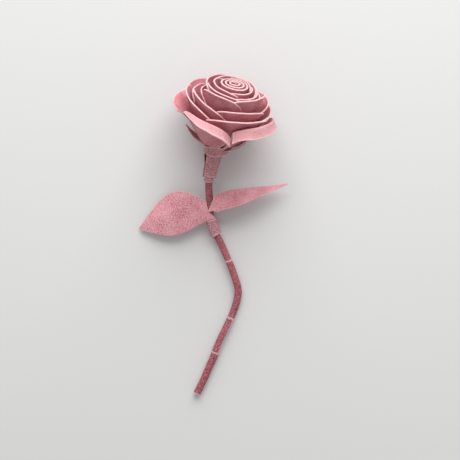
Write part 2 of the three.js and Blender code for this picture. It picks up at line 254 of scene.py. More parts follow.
@dataclass(frozen=True)
class PaperFinish(MaterialFinish):
    """Thick matte sheet: mottled with grains, with crossing threads, paler where it is cut, and painted
    paler where it lies in the light.

    Attributes:
        deep: Colour of the dark grains.
        face: Main colour.
        fleck: Colour of the pale grains.
        edge: Colour at a cut edge.
        edge_width: How far the paleness reaches in from a cut.
        edge_share: How pale it gets.
        swell: How many times thicker a sheet is at its frayed outer edge.
        grain: Grains to a millimetre.
        thread: Distance between the threads.
        crinkle: How strongly the sheet is ridged across its length.
        weave: How strongly the threads show.
        fibre: Share of the relief that is fine fibres, with grains for the rest.
        mottle: Heights of the relief between which the colour goes from deep to face.
        fleck_range: The same for the pale grains' noise.
        fleck_share: How much the pale grains show.
        clouds: Soft clouds to a metre, and how strongly they show.
        wander: How far the threads and ridges wander, in radians.
        painted_light_paleness: How pale the painted light makes a part that lies in the light.
        bump: Strength and depth of the bumps.
    """

    deep: str
    face: str
    fleck: str
    edge: str
    edge_width: float = 1.4
    edge_share: float = 0.8
    swell: float = 1.0
    grain: float = 0.9
    thread: float = 0.85
    crinkle: float = 0.0
    weave: float = 0.05
    fibre: float = 0.4
    mottle: Pair = (0.38, 0.6)
    fleck_range: Pair = (0.5, 0.66)
    fleck_share: float = 0.6
    clouds: Pair = (70.0, 0.3)
    wander: float = 3.0
    painted_light_paleness: float = 0.3
    bump: Pair = (0.5, 0.4)
    roughness: float = 0.92
    sheen: float = 0.12

    def look(self, graph: ShaderGraph) -> Dict[str, Any]:
        """Lays grains, fibres and threads out on the cutting pattern, paints light as paleness where the
        sheet lies in the light, and lets the cut edges go pale.

        Args:
            graph: The material's nodes.

        Returns:
            What the shader is fed.
        """
        sheet = graph.value("ShaderNodeUVMap", 0, {"uv_map": "UVMap"}, {})
        split = graph.add("ShaderNodeSeparateXYZ", {}, {0: sheet})
        across, along = (Shade(graph, split.outputs[i]) for i in (0, 1))
        grains = graph.grain(sheet, self.grain, 3.0, 0.65)
        flecks = graph.grain(sheet, 1.4 * self.grain, 2.0, 0.6).between(*self.fleck_range)
        fibres = graph.grain(sheet, 4.0 * self.grain, 3.0, 0.7)
        cloud_scale, cloud_share = self.clouds
        clouds = graph.grain(graph.place(), cloud_scale, 2.0) - 0.5
        wander = graph.grain(sheet, 0.35, 1.0) * self.wander
        pace = TURN / self.thread
        weave = (across * pace + wander).sine() * (along * pace + wander).sine()
        ridges = (along * (pace / 2.2) + wander * 1.6).sine()
        lift = weave * self.weave + ridges * self.crinkle
        lift = lift + grains * (1.0 - self.fibre) + fibres * self.fibre
        tone = graph.blend((lift + clouds * cloud_share).between(*self.mottle), self.deep, self.face)
        tone = graph.blend(flecks * self.fleck_share, tone, self.fleck)
        # Painted light: where the sheet lies in the light, its colour is painted paler, towards the edge
        # colour.
        tone = graph.blend(graph.stored("faded") * self.painted_light_paleness, tone, self.edge)
        from_cut = graph.stored("from_cut") + (grains - 0.5) * 3.0 * self.edge_width
        frayed = 1.0 - from_cut.between(0.0, self.edge_width)
        return {
            "Base Color": graph.blend(frayed * self.edge_share, tone, self.edge),
            "Roughness": self.roughness,
            "Specular IOR Level": 0.15,
            "Sheen Weight": self.sheen,
            "Sheen Roughness": 0.6,
            "Sheen Tint": self.fleck,
            "Normal": graph.bump(lift + flecks * 0.5, *self.bump),
        }


@dataclass(frozen=True)
class CutEdgeFinish(MaterialFinish):
    """The pale fibres of a cut edge."""

    pale: str
    tinted: str
    fibres: float = 1100.0

    def look(self, graph: ShaderGraph) -> Dict[str, Any]:
        """Mixes pale and tinted fibres."""
        fibres = graph.grain(graph.place(), self.fibres, 2.0)
        return {
            "Base Color": graph.blend(fibres.between(0.35, 0.65), self.tinted, self.pale),
            "Roughness": 0.95,
            "Specular IOR Level": 0.1,
            "Normal": graph.bump(fibres, 0.5, 0.3),
        }


@dataclass(frozen=True)
class WireFinish(MaterialFinish):
    """Drawn steel wire."""

    bright: str
    dull: str
    marks: float = 600.0

    def look(self, graph: ShaderGraph) -> Dict[str, Any]:
        """Mixes bright and dull marks, the brighter the rougher."""
        marks = graph.grain(graph.place(), self.marks, 3.0)
        return {
            "Base Color": graph.blend(marks, self.dull, self.bright),
            "Metallic": 1.0,
            "Roughness": marks * 0.3 + 0.3,
        }


@dataclass(frozen=True)
class FloorFinish(MaterialFinish):
    """Plain pale floor."""

    tone: str

    def look(self, graph: ShaderGraph) -> Dict[str, Any]:
        """Gives one even tone."""
        return {"Base Color": self.tone, "Roughness": 0.9, "Specular IOR Level": 0.1}


class Finish(Enum):
    """The finishes of the rose, by the record's material slot."""

    BUD = PaperFinish("bud_paper", "b45a65", "dc979e", "efc4c6", "eec8c8", edge_width=1.8, swell=2.1)
    PETAL = PaperFinish("petal_paper", "a54955", "df979f", "f2c5c9", "eec8c8", swell=1.8)
    CALYX = PaperFinish("calyx_paper", "7a424b", "d3939b", "f5d5d6", "e6c0c1",
                        swell=1.2, grain=0.8, crinkle=0.03)
    STEM = PaperFinish("stem_paper", "6d2d36", "b2656d", "dca6aa", "ecc6c7",
                       edge_width=1.0, edge_share=0.95, swell=1.15, grain=0.72)
    LEAF = PaperFinish("leaf_paper", "b5626e", "e6a4ae", "f9dade", "f0c4c9",
                       edge_width=0.6, edge_share=0.4, grain=0.8)

    @property
    def slot(self) -> str:
        """The record's material slot."""
        return self.name.lower()


class Dresser:
    """Builds each finish once, and puts it on pieces."""

    def __init__(self) -> None:
        """Makes the finishes."""
        self.paper = {finish: finish.value.build() for finish in Finish}
        self.edge = CutEdgeFinish("cut_edge", "ebc8c8", "dba4a9").build()
        self.stem_edge = CutEdgeFinish("stem_cut_edge", "d8a9aa", "a8686d").build()

    def dress(self, piece: bpy.types.Object, finish: Finish) -> None:
        """Gives a piece its paper, and the cut edge as a second material."""
        piece.data.materials.clear()
        for material in (self.paper[finish], self.fibre(finish)):
            piece.data.materials.append(material)

    def fibre(self, finish: Finish) -> bpy.types.Material:
        """Gives the material of a paper's cut edge."""
        return self.stem_edge if finish in (Finish.STEM, Finish.CALYX) else self.edge


@dataclass
class SheetStock:
    """The sheet that everything but the wire is cut from, and how it is cut and shaped.

    Attributes:
        thickness: Of the sheet.
        gap: Air between neighbouring sheets.
        ripple: How far the sheets stray from their drawn curves, all together, and over what distance.
        swelling: How far in from a frayed outer edge a sheet is thicker.
        wear: How far the cut edges are rounded off.
        worn_angle: Angle from which an edge is rounded off.
        crease_angle: Angle from which an edge is shaded as one.
        lifted: Least height of a sheet's middle above the floor, in thicknesses.
        samples: Columns and rows that a cutting pattern is measured by.
        seed: Of the field that the sheets stray by.
    """

    thickness: float = 0.7
    gap: float = 0.3
    ripple: Pair = (0.9, 22.0)
    swelling: float = 2.5
    wear: float = 0.1
    worn_angle: float = 60.0
    crease_angle: float = 50.0
    lifted: float = 0.8
    samples: Grid = (60, 24)
    seed: int = 1
    dresser: Dresser = field(default_factory=Dresser)

    def __post_init__(self) -> None:
        """Fixes the field that the sheets stray by."""
        noise.seed_set(self.seed)

    @property
    def pitch(self) -> float:
        """Distance between the middles of neighbouring sheets."""
        return self.thickness + self.gap

    def stray(self, points: Array) -> Array:
        """Moves drawn points by a smooth field, so that sheets that lie together stay together."""
        amount, span = self.ripple
        return points + amount * np.array([noise.noise_vector(Vector(p) / span) for p in points])

    def lay(self, points: Array) -> Array:
        """Carries drawn points into the frame, high enough above the floor for a swollen edge."""
        return POSE.place(self.stray(points), self.lifted * self.thickness)

    def cut(self, name: str, surface: Surface, grid: Grid, finish: Finish,
            painted_light: Optional[Surface] = None) -> None:
        """Makes one sheet piece: a flat grid, laid on a surface and given its thickness.

        Args:
            name: The CAD node that the piece stands for, or another name.
            surface: Drawn points for shares across and along the sheet.
            grid: Columns and rows.
            finish: The piece's finish.
            painted_light: How much paler the sheet is painted where it lies in the light, from 0 to 1, for
                shares across and along it.
        """
        bpy.ops.object.select_all(action="DESELECT")
        bpy.ops.mesh.primitive_grid_add(x_subdivisions=grid[0], y_subdivisions=grid[1], size=1.0)
        piece = bpy.context.object
        piece.name = name + "_sheet"
        mesh = piece.data
        flat = np.empty(3 * len(mesh.vertices))
        mesh.vertices.foreach_get("co", flat)
        u, v = flat.reshape(-1, 3)[:, 0] + 0.5, flat.reshape(-1, 3)[:, 1] + 0.5
        mesh.vertices.foreach_set("co", self.lay(surface(u, v)).ravel())
        from_rim = self._lay_out(mesh, surface, u, v)
        # Painted light: how much paler each point is painted, where the sheet lies in the light.
        faded = painted_light(u, v) if painted_light else 0.0 * u
        mesh.attributes.new("faded", "FLOAT", "POINT").data.foreach_set("value", faded)
        mesh.update()
        rim = piece.vertex_groups.new(name="rim")
        for index, weight in enumerate(1.0 - ease(from_rim, 0.0, self.swelling)):
            rim.add([index], weight, "REPLACE")
        solid = piece.modifiers.new("thickness", "SOLIDIFY")
        solid.thickness = self.thickness * MM * finish.value.swell
        solid.vertex_group = rim.name
        solid.thickness_vertex_group = 1.0 / finish.value.swell
        solid.offset = 0.0
        solid.material_offset_rim = 1
        self.dresser.dress(piece, finish)
        worn = piece.modifiers.new("worn_edges", "BEVEL")
        worn.width = self.wear * MM
        worn.segments = 2
        worn.limit_method = "ANGLE"
        worn.angle_limit = math.radians(self.worn_angle)
        for modifier in (solid, worn):
            bpy.ops.object.modifier_apply(modifier=modifier.name)
        bpy.ops.object.shade_smooth_by_angle(angle=math.radians(self.crease_angle))
        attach(piece, ROOT)
        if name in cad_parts:
            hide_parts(name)
        LOG.info("%s: %d faces", piece.name, len(piece.data.polygons))

    def _lay_out(self, mesh: bpy.types.Mesh, surface: Surface, u: Array, v: Array) -> Array:
        """Gives a sheet its cutting pattern: millimetres across and along it, and from the nearest cut.

        Args:
            mesh: The sheet's mesh.
            surface: The drawn surface.
            u: Share across, of each vertex.
            v: Share along, of each vertex.

        Returns:
            Millimetres from the sheet's outer edge, of each vertex.
        """
        steps, rows = (np.linspace(0.0, 1.0, count) for count in self.samples)
        width = np.interp(v, rows, [travel(surface(steps, row + 0.0 * steps))[-1] for row in rows])
        middle = travel(surface(0.5 + 0.0 * steps, steps))
        along = np.interp(v, steps, middle)
        cut = np.minimum(np.minimum(u, 1.0 - u) * width, np.minimum(along, middle[-1] - along))
        mesh.attributes.new("from_cut", "FLOAT", "POINT").data.foreach_set("value", cut)
        corner = np.empty(len(mesh.loops), dtype=np.int32)
        mesh.loops.foreach_get("vertex_index", corner)
        pattern = np.stack([(u - 0.5) * width, along], axis=1)[corner]
        mesh.uv_layers["UVMap"].data.foreach_set("uv", pattern.ravel())
        return middle[-1] - along


@dataclass
class Fray:
    """Loose fibres that stand out of cut edges.

    Attributes:
        sheet: The sheet that is cut.
        length: Shortest and longest fibre.
        radius: Of a fibre at its root.
        stray: How far the fibres' directions differ.
        roots: Share along a sheet where fibres start, and another further in that they point away from.
        low: Least height of a fibre's root above the floor, in lengths of the fibre.
        thread_links: Straight lengths that a loose thread is made of.
        thread_radius: Of a loose thread at its root.
        thread_roots: The same two shares for a loose thread.
        thread_way: How far a thread, which starts along the edge, points outwards from it.
        thread_bend: How far it bends outwards and towards the floor.
        seed: Of the fibres' places and directions.
    """

    sheet: SheetStock
    length: Pair = (0.4, 1.7)
    radius: float = 0.1
    stray: float = 0.7
    roots: Pair = (0.995, 0.96)
    low: float = 2.0
    thread_links: int = 8
    thread_radius: float = 0.17
    thread_roots: Pair = (0.97, 0.9)
    thread_way: float = 0.2
    thread_bend: Pair = (3.0, -0.5)
    seed: int = 11

    @staticmethod
    def strand(root: Vector, way: Vector, length: float, radius: float, bend: Vector, links: int) -> None:
        """Adds one fibre to the mesh that is being edited.

        Args:
            root: Where it starts, in metres.
            way: Its direction there.
            length: Its length.
            radius: At its root.
            bend: What is added to the direction by its end.
            links: Straight lengths that it is made of.
        """
        for link in range(links):
            step = (way + bend * link / links).normalized() * length * MM / links
            thick, thin = (radius * MM * (1.0 - (link + k) / links) for k in (0, 1))
            turn = step.to_track_quat("Z", "Y").to_euler()
            bpy.ops.mesh.primitive_cone_add(vertices=4, radius1=thick, radius2=thin, depth=step.length,
                                            location=root + step / 2, rotation=turn)
            root = root + step

    def comb(self, name: str, edges: Sequence[Tuple[Surface, int]], finish: Finish,
             threads: Sequence[Tuple[Surface, float, float]] = ()) -> None:
        """Makes the fibres along the outer edges of some sheets, as one piece.

        Args:
            name: The piece's name.
            edges: Sheets' surfaces, with how many fibres each has.
            finish: The sheets' finish.
            threads: Surfaces that a long loose thread hangs from, with its share across and its length.
        """
        rng = np.random.default_rng(self.seed)
        bpy.ops.object.select_all(action="DESELECT")
        bpy.ops.mesh.primitive_cone_add(vertices=4, radius1=MM, radius2=0.0, depth=MM)
        piece = bpy.context.object
        piece.name = name
        bpy.ops.object.mode_set(mode="EDIT")
        bpy.ops.mesh.delete(type="VERT")
        for surface, count in edges:
            u = rng.uniform(0.0, 1.0, count)
            root, inner = (self.sheet.lay(surface(u, np.full(count, v))) for v in self.roots)
            for place, way in zip(root, unit(root - inner)):
                way = Vector(way + rng.normal(0.0, self.stray, 3)).normalized()
                length = rng.uniform(*self.length)
                if place[2] > self.low * length * MM:
                    self.strand(Vector(place), way, length, self.radius, Vector(), 1)
        for surface, share, length in threads:
            u = np.array([share])
            root, inner = (Vector(self.sheet.lay(surface(u, np.array([v])))[0]) for v in self.thread_roots)
            outward = (root - inner).normalized()
            way = outward.cross(Vector((0.0, 0.0, -1.0))) + outward * self.thread_way
            bend = outward * self.thread_bend[0] + Vector((0.0, 0.0, self.thread_bend[1]))
            self.strand(root, way, length, self.thread_radius, bend, self.thread_links)
        bpy.ops.object.mode_set(mode="OBJECT")
        piece.data.materials.append(self.sheet.dresser.fibre(finish))
        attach(piece, ROOT)
        LOG.info("%s: %d faces", piece.name, len(piece.data.polygons))


def bezier(points: Sequence[Pair], share: Array) -> Tuple[Array, Array]:
    """Follows a cubic curve in the plane of radius and height.

    Args:
        points: The curve's four points.
        share: Where along it.

    Returns:
        Points of the curve, and its unit directions there.
    """
    a, b, c, d = (np.array(p)[None, :] for p in points)
    t = share[:, None]
    place = (1 - t) ** 3 * a + 3 * (1 - t) ** 2 * t * b + 3 * (1 - t) * t**2 * c + t**3 * d
    run = 3 * (1 - t) ** 2 * (b - a) + 6 * (1 - t) * t * (c - b) + 3 * t**2 * (d - c)
    return place, unit(run)


def reach(length: float, degrees: float) -> Array:
    """A step of a length at an angle from the bloom's axis, as radius and height."""
    return length * np.array([math.sin(math.radians(degrees)), math.cos(math.radians(degrees))])


@dataclass
class Flap:
    """The part of a petal that is folded out.

    Attributes:
        length: From the fold to its edge.
        angle: To the bloom's axis.
        taper: Share by which it is shorter at the petal's side towards smaller angles.
        fold: How softly it is folded.
        begins: Share of the petal's rows that lie below the fold.
        painted_light_rows: Where the painted light sets in, in rows from the fold.
    """

    length: float
    angle: float
    taper: float = 0.0
    fold: float = 3.0
    begins: float = 0.72
    painted_light_rows: Pair = (-0.03, 0.08)

    def curve(self, lip_angle: float) -> List[Array]:
        """Gives the four points of its curve, for a petal that comes up to the fold at an angle."""
        end = reach(self.length, self.angle)
        bend = end - reach(self.length - self.fold, self.angle)
        return [0.0 * end, reach(self.fold, lip_angle), bend, end]

    def painted_light(self, u: Array, v: Array) -> Array:
        """Gives the painted light on the petal: only the flap, which lies in the light, is painted paler.
        """
        return ease(v, *(self.begins + row for row in self.painted_light_rows)) + 0.0 * u


@dataclass
class Outline:
    """How a petal is cut and curved.

    Attributes:
        rim: Radius and height that it would reach at full length.
        lip: How far below the rim it starts to roll out, and the angle of the rim to the axis.
        foot_half: Half the angle that its foot takes up.
        half: Half the angle of its widest part.
        drop: Share of the curve by which its upper corners are rounded off.
    """

    rim: Pair
    lip: Pair
    foot_half: float
    half: float
    drop: float


@dataclass
class Petal:
    """One petal of a ring.

    Attributes:
        at: Where it stands round the axis: 0 is to the right, 90 at the back.
        reach: Share of the curve that it reaches.
        tilt: How much further its side towards larger angles reaches.
        over: Which of its sides lie over a neighbour (1) or under it (-1).
        outline: Its own outline, where that isn't the ring's.
        flap: The flap that is folded out beyond its rim, if it has one.
    """

    at: float
    reach: float = 1.0
    tilt: float = 0.0
    over: Pair = (-1.0, 1.0)
    outline: Optional[Outline] = None
    flap: Optional[Flap] = None


@dataclass
class PetalRing:
    """Petals that stand round the bloom's axis in one ring.

    Attributes:
        name: Start of the nodes' names.
        start: Angle between a petal's glued foot and the axis.
        outline: Its petals' outline.
        petals: The petals.
        rise: How far the foot runs straight.
    """

    name: str
    start: float
    outline: Outline
    petals: Sequence[Petal]
    rise: float = 14.0

    def closest(self) -> float:
        """Gives the smallest angle between neighbouring petals."""
        angles = [petal.at for petal in self.petals]
        return min((b - a) % 360.0 for a, b in zip(angles, angles[1:] + angles[:1]))


RINGS = (
    PetalRing("petal_heart", 10, Outline((16.5, 57), (12, 8), 50, 84, 0.08), (
        Petal(-150), Petal(-30, 0.98), Petal(90),
    )),
    PetalRing("petal_inner", 20, Outline((22, 55.5), (12, 12), 40, 66, 0.1), (
        Petal(-120, 0.99), Petal(-30, 0.97), Petal(60, 0.98), Petal(150),
    )),
    PetalRing("petal_front", 30, Outline((28.5, 57.5), (12, 16), 33, 52, 0.13), (
        Petal(-110, 0.94, 0.01, outline=Outline((28.5, 57.5), (12, 16), 33, 52, 0.2)),
        Petal(-38, 0.98, 0.04), Petal(34, 0.82), Petal(106, 0.8), Petal(178, 0.76),
    )),
    PetalRing("petal_middle", 40, Outline((33.5, 48), (12, 20), 33, 45, 0.13), (
        Petal(-126, 0.94, -0.1), Petal(-57, 0.98), Petal(18, 0.98), Petal(90, 0.92),
        Petal(162, 0.87, 0.03),
    )),
    PetalRing("petal_outer", 50, Outline((39.5, 44.5), (12, 34), 31, 46, 0.12), (
        Petal(-150, 0.92, -0.1, (-1, -1)), Petal(-66, 0.92, 0.06, (1, 1)), Petal(10, 0.88),
        Petal(77, 0.97), Petal(143, 0.95),
    )),
    PetalRing("petal_spread", 60, Outline((46, 29), (15, 88), 26, 40, 0.1), (
        Petal(-118, 1, 0.09, outline=Outline((40.5, 34.5), (12, 25), 38, 44, 0.34),
              flap=Flap(9.5, 120, 0.8)),
        Petal(-29, 1, 0.05, outline=Outline((39.5, 37), (12, 26), 36, 42, 0.2), flap=Flap(9, 135)),
        Petal(57, 0.86), Petal(110, 0.97), Petal(163),
    )),
)


@dataclass
class Sepal:
    """A narrow pointed strip under the petals.

    Attributes:
        at: Where it stands round the axis.
        tip: Radius and height of its tip.
        tip_angle: Angle of its tip to the axis.
    """

    at: float
    tip: Pair
    tip_angle: float


SEPALS = (
    Sepal(178, (30, 8), 47),
    Sepal(-34, (31.4, 21.5), 26),
    Sepal(40, (31, 12), 45),
    Sepal(110, (31, 12), 45),
)


@dataclass
class Bloom:
    """The rolled bud, its rings of petals, and the sepals and band under them.

    Attributes:
        lip_pitch: Distance between the bud's turns at its lip.
        loosening: How late, going up, the turns loosen.
        bud_widths: The lip's length in petals, for the tears in it.
        tuck_spare: How much further than needed petals are tucked under their neighbours.
        tucking: Shares of a petal's curve between which it is tucked.
        widening: Shares of it between which the petal widens.
        petal_length: Of a petal without a flap, for the tears in its edge.
        band_front: Where round the axis the band's lip rises and flares most.
        band_skew: How much higher the band's foot is at the right.
        tears: Number along a cut edge, size, and place in the noise.
        nicks: The same for small ones.
    """

    sheet: SheetStock
    foot: Triple = (-6.6, 79.0, 4.3)
    lean: float = 16.0
    nod: float = 29.0
    wire_radius: float = 0.75
    bud_turns: float = 3.3
    bud_foot: float = 1.0
    bud_lip: float = 57.5
    heart_rise: float = 1.5
    bud_widths: float = 5.0
    bud_seed: float = 3.0
    lip_pitch: float = 3.5
    loosening: float = 1.6
    tuck_spare: float = 1.25
    tucking: Pair = (0.08, 0.4)
    widening: Pair = (0.25, 0.75)
    petal_length: float = 60.0
    rings: Sequence[PetalRing] = RINGS
    sepals: Sequence[Sepal] = SEPALS
    sepal_start: float = 78.0
    sepal_rise: float = 9.0
    sepal_tip_length: float = 11.0
    sepal_half: float = 5.6
    sepal_tip_half: float = 0.5
    band_foot: Pair = (9.6, -9.4)
    band_lip: Pair = (10.0, -2.9)
    band_turns: float = 1.15
    band_seam: float = 100.0
    band_rise: float = 6.2
    band_flare: float = 5.0
    band_skew: float = 2.5
    band_front: float = -72.0
    ragged: float = 0.35
    tears: Triple = (6.0, 1.6, 0.0)
    nicks: Triple = (45.0, 0.8, 7.0)
    bud_grid: Grid = (110, 26)
    petal_grid: Grid = (56, 36)
    sepal_grid: Grid = (12, 36)
    band_grid: Grid = (96, 12)
    bud_fibres: int = 120
    petal_fibres: int = 30

    def axes(self) -> Array:
        """Gives the directions to the bloom's right, its back and up its axis, as rows."""
        lean, nod = math.radians(self.lean), math.radians(self.nod)
        up = np.array([math.sin(lean) * math.cos(nod), math.cos(lean) * math.cos(nod), math.sin(nod)])
        right = np.array([math.cos(lean), -math.sin(lean), 0.0])
        return np.stack([right, np.cross(up, right), up])

    def point(self, radius: Array, height: Array, angle: Array) -> Array:
        """Places points by their radius and angle round the bloom's axis and height above its foot."""
        local = np.stack([radius * np.cos(angle), radius * np.sin(angle), height], axis=1)
        return local @ self.axes() + np.array(self.foot)

    def on_axis(self, height: float) -> Array:
        """Gives the drawn point of the axis at a height."""
        return self.axes()[2] * height + np.array(self.foot)

    @property
    def bud_radius(self) -> float:
        """Radius of the roll's first turn at its foot."""
        return self.wire_radius + self.sheet.gap + self.sheet.thickness / 2

    def ring_feet(self) -> List[Array]:
        """Finds where each ring, and the sepals, are glued: each a sheet outside the one before.

        Returns:
            Radius and height of each foot.
        """
        starts = [ring.start for ring in self.rings] + [self.sepal_start]
        pitch = self.sheet.pitch
        roll = self.bud_radius + (self.bud_turns + 1.0) * pitch
        feet = [np.array([roll, self.bud_foot + self.sheet.thickness])]
        for before, after in zip(starts, starts[1:]):
            square = math.radians((before + after) / 2)
            feet.append(feet[-1] + pitch * np.array([math.cos(square), -math.sin(square)]))
        return feet

    def tatter(self, share: Array, seed: float) -> Array:
        """Gives the unevenness of a hand-cut edge, by the share along it."""
        return self.ragged * sum(
            size * np.array([noise.noise(Vector((x * count, seed, layer))) for x in share])
            for count, size, layer in (self.tears, self.nicks)
        )

    def bud_surface(self, u: Array, v: Array) -> Array:
        """Shapes the bud's strip, rolled tight at the foot and loose at the lip.

        Args:
            u: Share along the roll.
            v: Share up from its foot.

        Returns:
            Drawn points.
        """
        pitch = mix(self.sheet.pitch, self.lip_pitch, v**self.loosening)
        lip = self.bud_lip + self.heart_rise * (1.0 - u) + self.tatter(u * self.bud_widths, self.bud_seed)
        radius = self.bud_radius + pitch * self.bud_turns * u
        return self.point(radius, mix(self.bud_foot, lip, v), TURN * self.bud_turns * u)

    def petal_surface(self, ring: PetalRing, foot: Array, petal: Petal) -> Surface:
        """Shapes one petal.

        Args:
            ring: Its ring.
            foot: Where the ring is glued.
            petal: The petal.

        Returns:
            Its drawn surface.
        """
        shape = petal.outline or ring.outline
        rim = np.array(shape.rim)
        curve = [foot, foot + reach(ring.rise, ring.start), rim - reach(*shape.lip), rim]
        flap = petal.flap
        fold = flap.curve(shape.lip[1]) if flap else []
        tuck = self.tuck_spare * self.sheet.pitch * shape.half / ring.closest()

        def surface(u: Array, v: Array) -> Array:
            """Gives drawn points for shares across and along the petal."""
            side = 2.0 * u - 1.0
            edge = petal.reach - shape.drop * np.abs(side) ** 3 + petal.tilt * side
            tatter = self.tatter(u, petal.at + ring.start)
            if flap:
                along = np.minimum(v / flap.begins, 1.0) * edge
                place, run = bezier(curve, along)
                beyond = np.maximum(v - flap.begins, 0.0) / (1.0 - flap.begins)
                width = 1.0 - flap.taper * (1.0 - u) ** 2 + tatter / flap.length
                step, turned = bezier(fold, beyond * width)
                place = place + step
                run = np.where(beyond[:, None] > 0.0, turned, run)
            else:
                along = v * (edge + tatter / self.petal_length)
                place, run = bezier(curve, along)
            outward = tuck * mix(*petal.over, u) * ease(along, *self.tucking)
            half = mix(shape.foot_half, shape.half, ease(along, *self.widening))
            angle = np.radians(petal.at + half * side)
            return self.point(place[:, 0] + outward * run[:, 1], place[:, 1] - outward * run[:, 0], angle)

        return surface

    def sepal_surface(self, sepal: Sepal) -> Surface:
        """Shapes one sepal.

        Args:
            sepal: The sepal.

        Returns:
            Its drawn surface.
        """
        foot = self.ring_feet()[len(self.rings)]
        tip = np.array(sepal.tip)
        bend = tip - reach(self.sepal_tip_length, sepal.tip_angle)
        curve = [foot, foot + reach(self.sepal_rise, self.sepal_start), bend, tip]

        def surface(u: Array, v: Array) -> Array:
            """Gives drawn points for shares across and along the sepal."""
            place, _ = bezier(curve, v)
            half = mix(self.sepal_half, self.sepal_tip_half, v**2)
            angle = math.radians(sepal.at) + half * (2.0 * u - 1.0) / place[:, 0]
            return self.point(place[:, 0], place[:, 1], angle)

        return surface

    def band_surface(self, u: Array, v: Array) -> Array:
        """Shapes the band round the bloom's foot, with a lip that rises and flares at the front.

        Args:
            u: Share along the band.
            v: Share up from its foot.

        Returns:
            Drawn points.
        """
        radius = mix(self.band_foot[0], self.band_lip[0], v) + self.sheet.pitch * self.band_turns * u
        angle = math.radians(self.band_seam) + TURN * self.band_turns * u
        front = np.maximum(np.cos(angle - math.radians(self.band_front)), 0.0) ** 2
        lip = self.band_lip[1] + self.band_rise * front
        foot = self.band_foot[1] + self.band_skew * np.maximum(np.cos(angle), 0.0)
        flare = self.band_flare * front * v**1.5
        return self.point(radius + flare, mix(foot, lip, v), angle)

    def build(self) -> None:
        """Makes the bloom's pieces."""
        self.sheet.cut("bud_roll", self.bud_surface, self.bud_grid, Finish.BUD)
        rims = [(self.bud_surface, self.bud_fibres)]
        for ring, foot in zip(self.rings, self.ring_feet()):
            for number, petal in enumerate(ring.petals, 1):
                surface = self.petal_surface(ring, foot, petal)
                # The flaps lie in the light, and get painted light: a paler colour.
                painted_light = petal.flap.painted_light if petal.flap else None
                self.sheet.cut(f"{ring.name}_{number}", surface, self.petal_grid, Finish.PETAL, painted_light)
                rims.append((surface, self.petal_fibres))
        Fray(self.sheet).comb("bloom_fray", rims, Finish.PETAL)
        for number, sepal in enumerate(self.sepals, 1):
            self.sheet.cut(f"sepal_{number}", self.sepal_surface(sepal), self.sepal_grid, Finish.CALYX)
        self.sheet.cut("base_band", self.band_surface, self.band_grid, Finish.CALYX)


@dataclass
class Sleeve:
    """One strip rolled round the wire.

    Attributes:
        name: Its node.
        length: Along the stem.
        turns: Times round the wire.
        seam: Where its inner end lies round the stem.
    """

    name: str
    length: float
    turns: float
    seam: float


